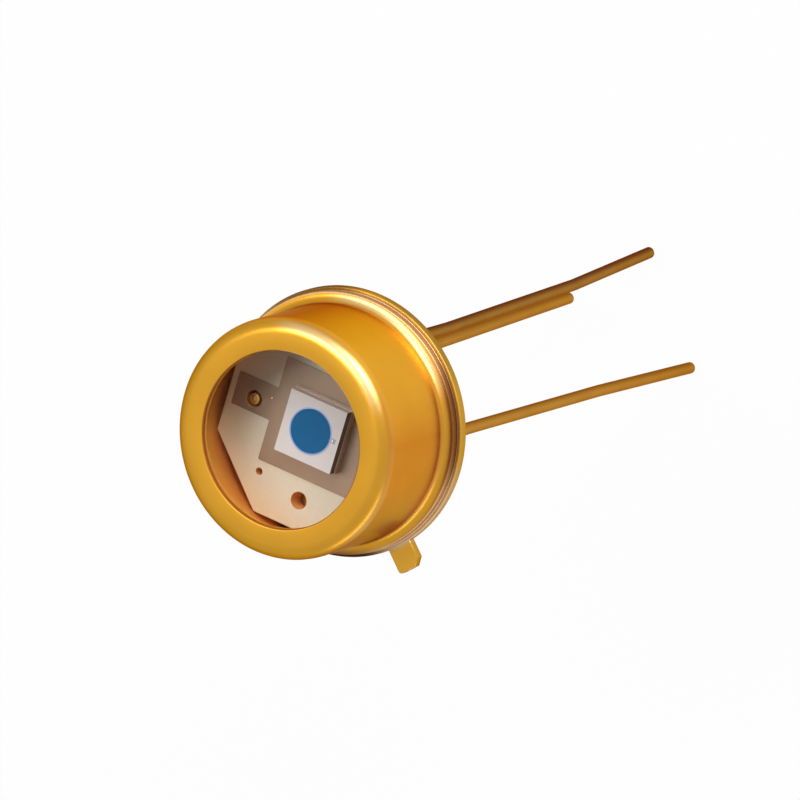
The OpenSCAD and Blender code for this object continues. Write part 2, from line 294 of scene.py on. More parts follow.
def gold_plate(name, face, sides, heated, patches):
    """Electroplated gold over drawn or stamped alloy, tumbled to a satin.

    It gives soft broad highlights over a fine grain; on one side its bends and the flange's flat carry a
    painted highlight, a paler tone under a clear coat, and walls that face inwards stay as drawn and matte.
    Level faces keep one colour. Round the sides, the listed tones run from the side away from the lit side to
    that side, and paint light and shade. The weld's heat has turned the flange's rim; patches lists darker
    and paler patches on the rim as angle and tone, and those at -72 to -82 degrees are painted shade under
    the flange.
    """
    material, tree, output, place = new_material(name)
    spot, normal = place.outputs["Object"], place.outputs["Normal"]

    # Gold: one colour on level faces, and tones round the sides that paint light and shade
    upright = add(tree, "ShaderNodeSeparateXYZ", {0: normal})
    facing = add(tree, "ShaderNodeVectorMath", {0: normal, 1: side(PAINTED_LIGHT_SIDE)}, operation="DOT_PRODUCT")
    turn = add(tree, "ShaderNodeMapRange", {"Value": facing.outputs["Value"], "From Min": -1.0})
    tones = add(tree, "ShaderNodeValToRGB", {0: turn.outputs["Result"]})
    for (reach, code), stop in zip(sides, [*tones.color_ramp.elements, *[None] * len(sides)]):
        stop = stop or tones.color_ramp.elements.new(reach)
        stop.position = reach
        stop.color = srgb(code)
    level = add(tree, "ShaderNodeMapRange", {
        "Value": upright.outputs["Z"], "From Min": LEVEL[0], "From Max": LEVEL[1]},
        interpolation_type="SMOOTHSTEP")
    tone = add(tree, "ShaderNodeMix", {
        0: level.outputs["Result"], 6: tones.outputs["Color"], 7: srgb(face)}, data_type="RGBA")
    drift = add(tree, "ShaderNodeTexNoise", {"Vector": spot, "Scale": per_mm(GOLD_DRIFT), "Detail": 3.0})
    patchy = add(tree, "ShaderNodeMapRange", {
        "Value": drift.outputs["Fac"], "To Min": GOLD_DRIFT_RANGE[0], "To Max": GOLD_DRIFT_RANGE[1]})
    plated = add(tree, "ShaderNodeVectorMath", {0: tone.outputs[2], 1: patchy.outputs["Result"]},
                 operation="MULTIPLY")

    # Heat of the weld, and a wider ring of patches, both fading on the tab; some patches are painted shade
    outwards = add(tree, "ShaderNodeVectorMath", {0: spot, 1: (1, 1, 0)}, operation="MULTIPLY")
    radius = add(tree, "ShaderNodeVectorMath", {0: outwards.outputs[0]}, operation="LENGTH")
    around = add(tree, "ShaderNodeVectorMath", {0: outwards.outputs[0]}, operation="NORMALIZE")
    zones = []
    for start in (HEAT_FROM_R, PATCHES_FROM_R):
        rim = add(tree, "ShaderNodeMapRange", {
            "Value": radius.outputs["Value"], "From Min": start * MM, "From Max": HEAT_FULL_R * MM},
            interpolation_type="SMOOTHSTEP")
        zones.append(add(tree, "ShaderNodeMapRange", {
            "Value": radius.outputs["Value"], "From Min": FLANGE_R * MM, "From Max": COOL_R * MM,
            "To Min": rim.outputs["Result"], "To Max": 0.0}))
    heat, patch_ring = zones
    colour = add(tree, "ShaderNodeMix", {0: heat.outputs["Result"], 6: plated.outputs[0], 7: srgb(heated)},
                 data_type="RGBA")
    for angle, tint in patches:
        near_patch = add(tree, "ShaderNodeVectorMath", {0: around.outputs[0], 1: side(angle)},
                        operation="DOT_PRODUCT")
        patch_share = add(tree, "ShaderNodeMapRange", {
            "Value": near_patch.outputs["Value"], "From Min": math.cos(math.radians(PATCH_SPREAD)),
            "From Max": 1.0, "To Max": patch_ring.outputs["Result"]}, interpolation_type="SMOOTHSTEP")
        colour = add(tree, "ShaderNodeMix", {0: patch_share.outputs["Result"], 6: colour.outputs[2], 7: srgb(tint)},
                     data_type="RGBA")

    # Grain, and inner walls that stay as drawn
    grain = add(tree, "ShaderNodeTexNoise", {"Vector": spot, "Scale": per_mm(GOLD_GRAIN), "Detail": 4.0})
    facing_in = add(tree, "ShaderNodeVectorMath", {0: normal, 1: around.outputs[0]}, operation="DOT_PRODUCT")
    inside = add(tree, "ShaderNodeMapRange", {
        "Value": facing_in.outputs["Value"], "From Min": INWARDS[0], "From Max": INWARDS[1]})
    height = add(tree, "ShaderNodeSeparateXYZ", {0: spot})
    punched = add(tree, "ShaderNodeMapRange", {
        "Value": height.outputs["Z"], "From Min": (CAP_TOP - SHEET) * MM,
        "From Max": (CAP_TOP - SHEET / 2) * MM})
    inner = add(tree, "ShaderNodeMix", {
        0: punched.outputs["Result"], 6: srgb(AS_DRAWN_GOLD), 7: srgb(PUNCHED_GOLD)}, data_type="RGBA")
    both = add(tree, "ShaderNodeMix", {
        0: inside.outputs["Result"], 6: colour.outputs[2], 7: inner.outputs[2]}, data_type="RGBA")
    matte = add(tree, "ShaderNodeMath", {0: inside.outputs["Result"], 1: INNER_DULLNESS},
                operation="MULTIPLY")
    rough = add(tree, "ShaderNodeMapRange", {
        "Value": grain.outputs["Fac"], "To Min": GOLD_ROUGH[0], "To Max": GOLD_ROUGH[1]})
    dulled = add(tree, "ShaderNodeMath", {0: heat.outputs["Result"], 1: HEAT_DULLNESS, 2: matte.outputs[0]},
                 operation="MULTIPLY_ADD")
    roughness = add(tree, "ShaderNodeMath", {0: rough.outputs["Result"], 1: dulled.outputs[0]})
    bump = add(tree, "ShaderNodeBump", {
        "Height": grain.outputs["Fac"], "Strength": 0.12, "Distance": GRAIN_DEPTH * MM})

    # Painted highlight: on one side the bends and the flange's flat take a paler tone and a clear coat
    near_highlight = add(tree, "ShaderNodeVectorMath", {0: around.outputs[0], 1: side(HIGHLIGHT_SIDE)},
                    operation="DOT_PRODUCT")
    unheated = add(tree, "ShaderNodeMapRange", {
        "Value": heat.outputs["Result"], "To Min": HIGHLIGHT_SHARE, "To Max": 0.0})
    highlight_zone = add(tree, "ShaderNodeMapRange", {
        "Value": near_highlight.outputs["Value"], "From Min": math.cos(math.radians(HIGHLIGHT_SPREAD)),
        "From Max": math.cos(math.radians(HIGHLIGHT_SPREAD / 2)), "To Max": unheated.outputs["Result"]},
        interpolation_type="SMOOTHSTEP")
    flange = add(tree, "ShaderNodeMapRange", {
        "Value": height.outputs["Z"], "From Min": (CAP_FOOT + 2 * SHEET) * MM,
        "From Max": (CAP_FOOT + SHEET) * MM, "To Max": highlight_zone.outputs["Result"]})
    bend = add(tree, "ShaderNodeMapRange", {
        "Value": upright.outputs["Z"], "From Min": BEND_START[0], "From Max": BEND_START[1],
        "To Min": flange.outputs["Result"], "To Max": highlight_zone.outputs["Result"]})
    painted_highlight = add(tree, "ShaderNodeMapRange", {
        "Value": upright.outputs["Z"], "From Min": BEND_END[0], "From Max": BEND_END[1],
        "To Max": bend.outputs["Result"]})
    shown = add(tree, "ShaderNodeMix", {
        0: painted_highlight.outputs["Result"], 6: both.outputs[2], 7: srgb(HIGHLIGHT_GOLD)}, data_type="RGBA")

    shader = add(tree, "ShaderNodeBsdfPrincipled", {
        "Base Color": shown.outputs[2], "Metallic": 1.0, "Roughness": roughness.outputs[0],
        "Specular Tint": srgb(GRAZING_GOLD), "Normal": bump.outputs["Normal"],
        "Coat Weight": painted_highlight.outputs["Result"], "Coat Roughness": 0.35, "Coat IOR": 2.0})
    tree.links.new(shader.outputs[0], output.inputs["Surface"])
    return material


def drawn_wire_gold(name, light, deep, shaded):
    """Gold over drawn wire: fine die lines along the wire and a browner, duller tone than the can.

    The die lines lie DIE_LINE_GAP apart, coarser than real ones, so that they show. The side away from the
    index tab is painted darker as shade.
    """
    material, tree, output, place = new_material(name)
    place, normal = place.outputs["Object"], place.outputs["Normal"]
    lengthwise = add(tree, "ShaderNodeMapping", {"Vector": place, "Scale": (1, 1, DIE_LINE_STRETCH)})
    lines = add(tree, "ShaderNodeTexNoise", {
        "Vector": lengthwise.outputs[0], "Scale": per_mm(DIE_LINE_GAP), "Detail": 3.0})
    drift = add(tree, "ShaderNodeTexNoise", {"Vector": place, "Scale": per_mm(WIRE_DRIFT), "Detail": 2.0})
    tone = add(tree, "ShaderNodeMix", {0: drift.outputs["Fac"], 6: srgb(light), 7: srgb(deep)},
               data_type="RGBA")
    facing = add(tree, "ShaderNodeVectorMath", {0: normal, 1: side(SHADED_WIRE_SIDE)}, operation="DOT_PRODUCT")
    in_painted_shade = add(tree, "ShaderNodeMapRange", {
        "Value": facing.outputs["Value"], "From Min": WIRE_SHADE_FROM}, interpolation_type="SMOOTHSTEP")
    colour = add(tree, "ShaderNodeMix", {
        0: in_painted_shade.outputs["Result"], 6: tone.outputs[2], 7: srgb(shaded)}, data_type="RGBA")
    rough = add(tree, "ShaderNodeMapRange", {
        "Value": lines.outputs["Fac"], "To Min": WIRE_ROUGH[0], "To Max": WIRE_ROUGH[1]})
    bump = add(tree, "ShaderNodeBump", {
        "Height": lines.outputs["Fac"], "Strength": 0.15, "Distance": GRAIN_DEPTH * MM})
    shader = add(tree, "ShaderNodeBsdfPrincipled", {
        "Base Color": colour.outputs[2], "Metallic": 1.0, "Roughness": rough.outputs["Result"],
        "Specular Tint": srgb(GRAZING_GOLD), "Normal": bump.outputs["Normal"]})
    tree.links.new(shader.outputs[0], output.inputs["Surface"])
    return material


def fired(name, light, deep, grain, rough, metallic=0.0, ior=1.5, walls=None):
    """A fired, fused or melted surface: two tones in grains of a real size and a roughness that follows.

    walls gives the tone of cut walls, and a darker tone for walls that face lead 1, which is painted shade on
    that side.
    """
    material, tree, output, place = new_material(name)
    grains = add(tree, "ShaderNodeTexNoise", {
        "Vector": place.outputs["Object"], "Scale": per_mm(grain), "Detail": 5.0, "Roughness": 0.6})
    colour = add(tree, "ShaderNodeMix", {0: grains.outputs["Fac"], 6: srgb(light), 7: srgb(deep)},
                 data_type="RGBA")
    if walls:
        upright = add(tree, "ShaderNodeSeparateXYZ", {0: place.outputs["Normal"]})
        wall = add(tree, "ShaderNodeMapRange", {
            "Value": upright.outputs["Z"], "From Min": CUT_WALL[0], "From Max": CUT_WALL[1]},
            interpolation_type="SMOOTHSTEP")
        shaded_wall = add(tree, "ShaderNodeMapRange", {
            "Value": upright.outputs["X"], "From Min": SHADED_WALL[0], "From Max": SHADED_WALL[1]},
            interpolation_type="SMOOTHSTEP")
        cut = add(tree, "ShaderNodeMix", {0: shaded_wall.outputs["Result"], 6: srgb(walls[0]), 7: srgb(walls[1])},
                  data_type="RGBA")
        colour = add(tree, "ShaderNodeMix", {
            0: wall.outputs["Result"], 6: colour.outputs[2], 7: cut.outputs[2]}, data_type="RGBA")
    roughness = add(tree, "ShaderNodeMapRange", {
        "Value": grains.outputs["Fac"], "To Min": rough[0], "To Max": rough[1]})
    relief = add(tree, "ShaderNodeBump", {
        "Height": grains.outputs["Fac"], "Strength": 0.1, "Distance": FIRED_DEPTH * MM})
    shader = add(tree, "ShaderNodeBsdfPrincipled", {
        "Base Color": colour.outputs[2], "Metallic": metallic, "Roughness": roughness.outputs["Result"],
        "Normal": relief.outputs["Normal"]})
    if not metallic:
        shader.inputs["IOR"].default_value = ior
    tree.links.new(shader.outputs[0], output.inputs["Surface"])
    return material


def clear_glass(name):
    """Polished window glass with an anti-reflection film: clear, hardly mirroring. Lamps shine through it."""
    material, tree, output, place = new_material(name)
    smear = add(tree, "ShaderNodeTexNoise", {
        "Vector": place.outputs["Object"], "Scale": per_mm(SMEAR), "Detail": 2.0})
    rough = add(tree, "ShaderNodeMapRange", {
        "Value": smear.outputs["Fac"], "To Min": 0.0, "To Max": SMEAR_ROUGH})
    shader = add(tree, "ShaderNodeBsdfPrincipled", {
        "Base Color": srgb("#FAFCFB"), "Roughness": rough.outputs["Result"], "IOR": 1.5,
        "Specular Tint": srgb("#2A2630"), "Transmission Weight": 1.0})
    through = add(tree, "ShaderNodeBsdfTransparent")
    path = add(tree, "ShaderNodeLightPath")
    lit = add(tree, "ShaderNodeMath", {
        0: path.outputs["Is Shadow Ray"], 1: path.outputs["Is Diffuse Ray"]}, operation="MAXIMUM")
    mix = add(tree, "ShaderNodeMixShader", {
        0: lit.outputs[0], 1: shader.outputs[0], 2: through.outputs[0]})
    tree.links.new(mix.outputs[0], output.inputs["Surface"])
    return material


def wire_edges(geometry):
    """The edges among an operator's results."""
    return [g for g in geometry if isinstance(g, bmesh.types.BMEdge)]


def wire_points(geometry):
    """The vertices among an operator's results."""
    return [g for g in geometry if isinstance(g, bmesh.types.BMVert)]


def round_corners(bm, corners, radii):
    """Rounds each right-angled corner of an outline with its own radius."""
    for corner, radius in zip(corners, radii):
        if radius:
            bmesh.ops.bevel(bm, geom=[corner], offset=radius, offset_type="OFFSET", affect="VERTICES",
                            segments=ARC_STEPS, profile=0.5, material=-1)


def outline(bm, corners, radii, closed=True):
    """A line of edges through these points, with rounded corners."""
    points = [bm.verts.new(p) for p in corners]
    ends = points[1:] + points[:1] if closed else points[1:]
    for pair in zip(points, ends):
        bm.edges.new(pair)
    round_corners(bm, points, radii)


def turned(section, at=(0, 0), steps=TURN_STEPS, closed=True):
    """A turned shape: a section of (radius, height, corner radius) spun about an upright axis."""
    bm = bmesh.new()
    outline(bm, [(r, 0, z) for r, z, _ in section], [corner for _, _, corner in section], closed)
    bmesh.ops.spin(bm, geom=bm.verts[:] + bm.edges[:], cent=(0, 0, 0), axis=(0, 0, 1),
                   angle=2 * math.pi, steps=steps, use_merge=True)
    bmesh.ops.remove_doubles(bm, verts=bm.verts, dist=MERGE_WITHIN)
    bmesh.ops.recalc_face_normals(bm, faces=bm.faces)
    bmesh.ops.translate(bm, verts=bm.verts, vec=(*at, 0))
    return bm


def thicken(bm, bottom, top, holes):
    """Makes a flat outline at the bottom a plate, less round holes of (x, y, radius)."""
    for x, y, radius in holes:
        bmesh.ops.create_circle(bm, segments=WIRE_STEPS, radius=radius,
                                matrix=Matrix.Translation((x, y, bottom)))
    bmesh.ops.triangle_fill(bm, edges=bm.edges[:], use_beauty=True, use_dissolve=True)
    grown = bmesh.ops.extrude_face_region(bm, geom=bm.faces[:])["geom"]
    bmesh.ops.translate(bm, verts=wire_points(grown), vec=(0, 0, top - bottom))
    bmesh.ops.recalc_face_normals(bm, faces=bm.faces)
    return bm


def plate(corners, radii, holes, bottom, top):
    """A flat plate with rounded corners and round holes."""
    bm = bmesh.new()
    outline(bm, [(x, y, bottom) for x, y in corners], radii)
    return thicken(bm, bottom, top, holes)


def block(node, corner):
    """A square block in the box of its solid; its upright corners are rounded, or left sharp with 0."""
    lower, upper = low(node), high(node)
    bm = bmesh.new()
    bmesh.ops.create_cube(bm, size=1)
    bmesh.ops.scale(bm, verts=bm.verts, vec=upper - lower)
    bmesh.ops.translate(bm, verts=bm.verts, vec=(lower + upper) / 2)
    upright = [e for e in bm.edges if abs(e.verts[0].co.z - e.verts[1].co.z) > MERGE_WITHIN]
    if corner:
        bmesh.ops.bevel(bm, geom=upright, offset=corner, offset_type="OFFSET", affect="EDGES",
                        segments=CORNER_STEPS, profile=0.5, material=-1)
    return bm


def join(bm, other):
    """Adds another shape to this one as a separate shell."""
    mesh = bpy.data.meshes.new("joining")
    other.to_mesh(mesh)
    other.free()
    bm.from_mesh(mesh)
    bpy.data.meshes.remove(mesh)


def as_object(bm, name):
    """Puts a shape into the scene as an object."""
    mesh = bpy.data.meshes.new(name)
    bm.to_mesh(mesh)
    bm.free()
    made = bpy.data.objects.new(name, mesh)
    bpy.context.scene.collection.objects.link(made)
    return made


def shaped_by(bm, tools):
    """Unites a shape with others, or cuts them out of it; tools is a list of (shape, operation)."""
    base = as_object(bm, "base")
    others = [as_object(shape, "tool") for shape, _ in tools]
    for other, (_, operation) in zip(others, tools):
        step = base.modifiers.new(operation, "BOOLEAN")
        step.object = other
        step.operation = operation
        step.solver = "EXACT"
    result = bmesh.new()
    result.from_object(base, bpy.context.evaluated_depsgraph_get())
    for used in [base, *others]:
        mesh = used.data
        bpy.data.objects.remove(used)
        bpy.data.meshes.remove(mesh)
    return result


def piece(name, bm, node, material, soften=0.0):
    """A finished piece in metres that rides on the part and stands for its solid."""
    bmesh.ops.scale(bm, verts=bm.verts, vec=(MM, MM, MM))
    made = as_object(bm, name)
    made.data.materials.clear()
    made.data.materials.append(material)
    made.data.polygons.foreach_set("use_smooth", [True] * len(made.data.polygons))
    made.data.set_sharp_from_angle(angle=math.radians(SMOOTH_BELOW))
    if soften:
        edge = made.modifiers.new("Softened edges", "BEVEL")
        edge.width = soften * MM
        edge.segments = SOFT_STEPS
        edge.limit_method = "ANGLE"
        edge.harden_normals = True
    flat = made.modifiers.new("Flat faces stay flat", "WEIGHTED_NORMAL")
    flat.keep_sharp = True
    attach(made, "root")
    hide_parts(node)


def cap_shell():
    """The drawn cap: flange, flare, wall, rounded front edge and aperture, bent from one sheet."""
    return turned([
        (APERTURE_R, CAP_TOP - SHEET, 0),
        (APERTURE_R, CAP_TOP, APERTURE_EDGE_R),
        (CAP_R, CAP_TOP, CAP_EDGE_R),
        (CAP_R, CAP_FOOT + SHEET, CAP_FLARE_R),
        (CAP_FLANGE_R, CAP_FOOT + SHEET, CAP_CUT_EDGE_R),
        (CAP_FLANGE_R, CAP_FOOT, CAP_CUT_EDGE_R),
        (CAP_INNER_R, CAP_FOOT, CAP_FLARE_R + SHEET),
        (CAP_INNER_R, CAP_TOP - SHEET, CAP_EDGE_R - SHEET),
    ])


def index_tab():
    """The flat tab that marks lead 1, with one clipped corner and rolled edges.

    Its faces lie a hair inside the flange's, so that the two shapes join cleanly.
    """
    end = FLANGE_R + TAB_REACH
    half = TAB_W / 2
    corners = [(PLATFORM_R, -half), (end, -half), (end, half - TAB_CLIP), (end - TAB_CLIP, half),
               (PLATFORM_R, half)]
    bm = plate(corners, [0, TAB_ROUND, 0, 0, 0], [], TAB_STEP, FLANGE_T - TAB_STEP)
    rim = [e for e in bm.edges if e.calc_face_angle() > ROLL_ABOVE and e.verts[0].co.z == e.verts[1].co.z]
    bmesh.ops.bevel(bm, geom=rim, offset=RIM_ROUND, offset_type="OFFSET", affect="EDGES",
                    segments=CORNER_STEPS, profile=0.5, material=-1)
    bmesh.ops.rotate(bm, verts=bm.verts, cent=(0, 0, 0),
                     matrix=Matrix.Rotation(math.radians(TAB_ANGLE), 3, "Z"))
    return bm


def lead_hole(at, steps):
    """A round cutter from below the header up through steps of (radius, height)."""
    section = [(0, -CUT_PAST, 0), (steps[0][0], -CUT_PAST, 0)]
    for (radius, height), (next_radius, _) in zip(steps, [*steps[1:], (0, 0)]):
        section += [(radius, height, 0), (next_radius, height, 0)]
    return turned(section, at, SMALL_TURN_STEPS, closed=False)


def header_base():
    """The stamped header: flange with its tab, platform and the holes that the leads pass."""
    base = turned([
        (0, 0, 0),
        (FLANGE_R, 0, RIM_ROUND),
        (FLANGE_R, FLANGE_T, RIM_ROUND),
        (PLATFORM_R, FLANGE_T, 0),
        (PLATFORM_R, PLATFORM_TOP, RIM_ROUND),
        (0, PLATFORM_TOP, 0),
    ], closed=False)
    bmesh.ops.dissolve_limit(base, angle_limit=math.radians(FLAT_WITHIN), verts=base.verts, edges=base.edges)
    through = [(SEAL_R, PLATFORM_TOP + CUT_PAST)]
    blind = [(SEAL_R, BRAZE_TOP), (LEAD_R, CASE_LEAD_TOP)]
    holes = [lead_hole(LEADS["anode"]["at"], through), lead_hole(LEADS["cathode"]["at"], through),
             lead_hole(LEADS["case"]["at"], blind)]
    return shaped_by(base, [(index_tab(), "UNION")] + [(hole, "DIFFERENCE") for hole in holes])


def round_end(bm, edges, place, along):
    """Closes a wire's end with a rounded rim and a flat face."""
    radius = LEAD_R
    reached = 0.0
    for i in range(1, TIP_STEPS + 1):
        angle = math.pi / 2 * i / TIP_STEPS
        smaller = LEAD_R - LEAD_TIP_ROUND * (1 - math.cos(angle))
        further = LEAD_TIP_ROUND * math.sin(angle) - reached
        grown = bmesh.ops.extrude_edge_only(bm, edges=edges)["geom"]
        edges, moved = wire_edges(grown), wire_points(grown)
        bmesh.ops.scale(bm, verts=moved, vec=(smaller / radius,) * 3, space=Matrix.Translation(-place))
        bmesh.ops.translate(bm, verts=moved, vec=along * further)
        place = place + along * further
        radius = smaller
        reached += further
    bmesh.ops.edgeloop_fill(bm, edges=edges)


def lead_wire(at, top, length, runs, turns):
    """A lead: drawn down from its post, bent round arcs, and cut with a rounded burr at both ends."""
    bm = bmesh.new()
    place = Vector((*at, top - LEAD_TIP_ROUND))
    ring = bmesh.ops.create_circle(bm, segments=WIRE_STEPS, radius=LEAD_R, matrix=Matrix.Translation(place))
    edges = list({e for v in ring["verts"] for e in v.link_edges})
    round_end(bm, edges, place, Vector((0, 0, 1)))
    bends = sum(abs(math.radians(turn)) * LEAD_BEND_R for turn in turns)
    last = length - sum(runs) - bends - LEAD_TIP_ROUND
    lean = 0.0
    for run, turn in zip([runs[0] + place.z, *runs[1:], last], [*turns, 0]):
        along = Vector((0, math.sin(lean), -math.cos(lean)))
        grown = bmesh.ops.extrude_edge_only(bm, edges=edges)["geom"]
        edges = wire_edges(grown)
        bmesh.ops.translate(bm, verts=wire_points(grown), vec=along * run)
        place += along * run
        if turn:
            inwards = Vector((0, math.cos(lean), math.sin(lean))) * math.copysign(LEAD_BEND_R, turn)
            centre = place + inwards
            bent = bmesh.ops.spin(bm, geom=edges, cent=centre, axis=(1, 0, 0), angle=math.radians(turn),
                                  steps=ARC_STEPS)
            edges = wire_edges(bent["geom_last"])
            place = centre - Matrix.Rotation(math.radians(turn), 3, "X") @ inwards
            lean += math.radians(turn)
    round_end(bm, edges, place, Vector((0, math.sin(lean), -math.cos(lean))))
    bmesh.ops.remove_doubles(bm, verts=bm.verts, dist=MERGE_WITHIN)
    bmesh.ops.recalc_face_normals(bm, faces=bm.faces)
    return bm


def glass_bead(at):
    """A fused bead around a lead: dished, and climbing a little up the wire and the hole's wall."""
    bottom, top = low("glass_seal_anode").z, high("glass_seal_anode").z
    return turned([
        (LEAD_R, bottom - BEAD_CLIMB, 0),
        (LEAD_R + BEAD_FOOT, bottom, MELT_ROUND),
        (SEAL_R - WALL_FOOT, bottom, MELT_ROUND),
        (SEAL_R, bottom - BEAD_CLIMB, 0),
        (SEAL_R, top + BEAD_CLIMB, 0),
        (SEAL_R - WALL_FOOT, top, MELT_ROUND),
        (LEAD_R + BEAD_FOOT, top, MELT_ROUND),
        (LEAD_R, top + BEAD_CLIMB, 0),
    ], at, SMALL_TURN_STEPS)


def braze_fillet():
    """Braze metal around the case lead, drawn into a fillet against the wire."""
    bottom, top = low("case_lead_braze").z, high("case_lead_braze").z
    return turned([
        (LEAD_R, bottom - BRAZE_CLIMB, 0),
        (LEAD_R + BRAZE_FOOT, bottom, MELT_ROUND),
        (SEAL_R - WALL_FOOT, bottom, MELT_ROUND),
        (SEAL_R, bottom - BRAZE_CLIMB, 0),
        (SEAL_R, top, 0),
        (LEAD_R, top, 0),
    ], LEADS["case"]["at"], SMALL_TURN_STEPS)


def weld_seam():
    """The flattened bead of weld metal that shows under the cap's flange."""
    outer = high("weld_ring").x
    inner = CAP_R + CAP_FLARE_R - (outer - CAP_FLANGE_R)
    bottom, top = low("weld_ring").z, high("weld_ring").z
    return turned([
        (inner, bottom, 0), (outer, bottom, WELD_ROUND), (outer, top, WELD_ROUND), (inner, top, 0)])


def window_pane():
    """The ground and polished glass disc, with a small rounded edge."""
    outer = high("window").x
    bottom, top = low("window").z, high("window").z
    return turned([
        (0, bottom, 0), (outer, bottom, WINDOW_ROUND), (outer, top, WINDOW_ROUND), (0, top, 0)], closed=False)


def window_solder_glass():
    """Fused glass between the window's edge and the cap."""
    inner, outer = high("window").x, high("window_seal").x
    bottom, top = low("window_seal").z, high("window_seal").z
    return turned([(inner, bottom, 0), (outer, bottom, 0), (outer, top, 0), (inner, top, 0)])


def pin_holes(radius):
    """Four holes on the lead circle."""
    return [(PIN_R * side(a)[0], PIN_R * side(a)[1], radius) for a in (0, 90, 180, 270)]


def ceramic_plate():
    """The octagonal ceramic with its lead holes and the small marker hole."""
    bottom = low("ceramic_substrate").z
    bm = bmesh.new()
    turn = Matrix.Rotation(math.pi / CERAMIC_SIDES, 4, "Z")
    bmesh.ops.create_circle(bm, segments=CERAMIC_SIDES, radius=CERAMIC_CORNER_R,
                            matrix=Matrix.Translation((0, 0, bottom)) @ turn)
    return thicken(bm, bottom, CERAMIC_TOP, pin_holes(POST_HOLE_R) + [(*MARKER_AT, MARKER_R)])


def adhesive_film():
    """The cured film between platform and ceramic, drawn back from the holes."""
    bottom, top = low("substrate_adhesive").z, high("substrate_adhesive").z
    bm = bmesh.new()
    bmesh.ops.create_circle(bm, segments=TURN_STEPS, radius=high("substrate_adhesive").x,
                            matrix=Matrix.Translation((0, 0, bottom)))
    holes = pin_holes(POST_HOLE_R + ADHESIVE_HOLE_GAP)
    return thicken(bm, bottom, top, holes + [(*MARKER_AT, MARKER_R + ADHESIVE_HOLE_GAP)])


def printed_pad():
    """The printed metal pad, with an arm around the cathode post."""
    reach = low("die_pad").x
    half = PAD_HALF
    corners = [(-half, -half), (half, -half), (half, half), (-half, half),
               (-half, ARM_HIGH), (reach, ARM_HIGH), (reach, ARM_LOW), (-half, ARM_LOW)]
    holes = [(-PIN_R, 0, ARM_HOLE_R)]
    return plate(corners, [PAD_CORNER] * len(corners), holes, low("die_pad").z, high("die_pad").z)


def chip_die():
    """The sawn chip: a square die with a shallow step along its edges where the saw street ran."""
    bm = block("photodiode_chip", 0)
    top = max(bm.faces, key=lambda face: face.calc_center_median().z)
    rim = top.verts[:]
    bmesh.ops.inset_region(bm, faces=[top], thickness=STREET_W)
    bmesh.ops.translate(bm, verts=rim, vec=(0, 0, -STREET_STEP))
    return bm


def active_film():
    """The round blue film over the active area."""
    bottom, top = low("blue_coating").z, high("blue_coating").z
    return turned([(0, bottom, 0), (ACTIVE_R, bottom, 0), (ACTIVE_R, top, FILM_EDGE), (0, top, 0)],
                  steps=SMALL_TURN_STEPS, closed=False)


def contact_metal_ring():
    """The thin metal ring around the active area, with the place where the wire is bonded."""
    bottom, top = low("anode_contact").z, high("anode_contact").z
    inner, outer = ACTIVE_R, high("anode_contact").y
    ring = turned([(inner, bottom, 0), (outer, bottom, 0), (outer, top, FILM_EDGE), (inner, top, FILM_EDGE)],
                  steps=SMALL_TURN_STEPS)
    half = BOND_PLACE / 2
    start, end = (inner + outer) / 2, high("anode_contact").x
    corners = [(start, -half), (end, -half), (end, half), (start, half)]
    bond = plate(corners, [0, BOND_CORNER, BOND_CORNER, 0], [], bottom + FILM_EDGE / 4, top - FILM_EDGE / 4)
    return shaped_by(ring, [(bond, "UNION")])


def wire_ball(foot):
    """The squashed ball at the end of a bond wire."""
    ball = turned([(0, 0, 0), (BALL_R, 0, 0), (BALL_R, BALL_H, BALL_ROUND), (0, BALL_H, 0)],
                  (foot.x, foot.y), WIRE_STEPS, closed=False)
    bmesh.ops.translate(ball, verts=ball.verts, vec=(0, 0, foot.z))
    return ball


def bond_wire(start, end, loop):
    """A gold wire on a round arc between two places, with a squashed ball at each end."""
    bm = bmesh.new()
    start, end = Vector(start), Vector(end)
    chord = end - start
    arc_r = (chord.length_squared / 4 + loop * loop) / (2 * loop)
    half = math.asin(chord.length / 2 / arc_r)
    axis = Vector((chord.x, chord.y, 0)).normalized().cross(Vector((0, 0, 1)))
    up = axis.cross(chord).normalized()
    foot = Vector((0, 0, BALL_H / 2))
    centre = (start + end) / 2 + foot + up * (loop - arc_r)
    first = start + foot
    across = axis.cross(centre - first).to_track_quat("Z", "Y").to_matrix().to_4x4()
    ring = bmesh.ops.create_circle(bm, segments=BOND_WIRE_STEPS, radius=WIRE_R,
                                   matrix=Matrix.Translation(first) @ across)
    edges = list({e for v in ring["verts"] for e in v.link_edges})
    bmesh.ops.edgeloop_fill(bm, edges=edges)
    swept = bmesh.ops.spin(bm, geom=edges, cent=centre, axis=-axis, angle=-2 * half, steps=BOND_LOOP_STEPS)
    bmesh.ops.edgeloop_fill(bm, edges=wire_edges(swept["geom_last"]))
    bmesh.ops.recalc_face_normals(bm, faces=bm.faces)
    join(bm, wire_ball(start))
    join(bm, wire_ball(end))
    return bm


# Tones of the gold round the sides, painted light and shade, as (share of the way to the lit side, tone)
CAP_PAINTED_SHADING = [(0.32, "#B88848"), (0.52, "#D8AE68"), (0.72, "#DC9A48"), (0.86, "#D68E3A"), (0.95, "#E6A63E"),
             (1.0, "#ECAE40")]
HEADER_PAINTED_SHADING = [(0.3, "#8A5A1C"), (0.55, "#B98A34"), (1.0, "#D2A044")]

# Patches on the rim, as (degrees from lead 1, tone): painted shade under the flange at -72 to -82 degrees,
# darker tones at 22, 66 and 125 degrees and paler ones at -26 to -30 degrees
CAP_PATCHES = [(22, "#8A5E34"), (-82, "#8A5E34")]
HEADER_PATCHES = [(125, "#7A5628"), (66, "#B28C44"), (-72, "#482A12"), (-26, "#D6B488")]
WELD_PATCHES = [(125, "#8A6438"), (22, "#98704A"), (-72, "#5A3818"), (-30, "#DEC4A4")]

